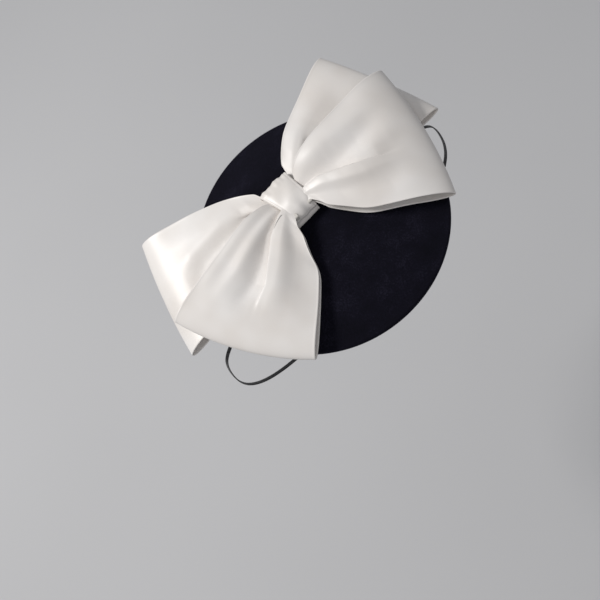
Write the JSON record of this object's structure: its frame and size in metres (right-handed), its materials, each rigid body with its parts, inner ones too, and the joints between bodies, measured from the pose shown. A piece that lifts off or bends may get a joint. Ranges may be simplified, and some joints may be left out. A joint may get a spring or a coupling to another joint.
{
  "type": "disc headpiece with ribbon bow",
  "caption": "Shallow velvet-covered disc headpiece with a double satin ribbon bow sewn on top and a hat elastic hanging from tabs below.",
  "frame": {"origin": "middle of the disc, in the plane of its underside rim, which is where the head seats it", "axes": "+Z out of the head through the dome, +X to the wearer's brow, +Y to the crown of the head"},
  "size_m": [0.2373, 0.2352, 0.1693],
  "materials": {
    "velvet": "short-pile velvet, near-black with a blue-violet sheen",
    "satin": "ivory duchess satin, soft broad highlights",
    "buckram": "stiffened open-weave buckram, matt",
    "mulling": "dark brushed flannel, matt",
    "lining": "dark plain-weave lining, slight sheen",
    "petersham": "black ribbed petersham ribbon, matt",
    "elastic": "black braided hat elastic, matt",
    "thread": "ivory sewing thread",
    "wire": "plain steel millinery wire"
  },
  "bodies": {
    "headpiece": {"base_former": "buckram", "mulling_layer": "mulling", "rim_wire": "wire", "wire_joiner": "wire", "velvet_cover": "velvet", "lining": "lining", "petersham_ring": "petersham", "elastic_tab_left": "petersham", "elastic_tab_right": "petersham", "knot_band": "satin", "bow_stitch_left": "thread", "bow_stitch_right": "thread", "front_loop_upper": "satin", "front_loop_lower": "satin", "back_loop_upper": "satin", "back_loop_lower": "satin", "front_binding_upper": "thread", "front_binding_lower": "thread", "back_binding_upper": "thread", "back_binding_lower": "thread"},
    "elastic_loop": {"hat_elastic": "elastic", "elastic_knot_left": "elastic", "elastic_knot_right": "elastic"}
  },
  "joints": [
    {"name": "elastic_swing", "type": "hinge", "parent": "headpiece", "child": "elastic_loop", "pos_m": [0, 0, -0.0045], "axis": [0.6428, 0.766, 0], "range_deg": [-65, 65]}
  ]
}
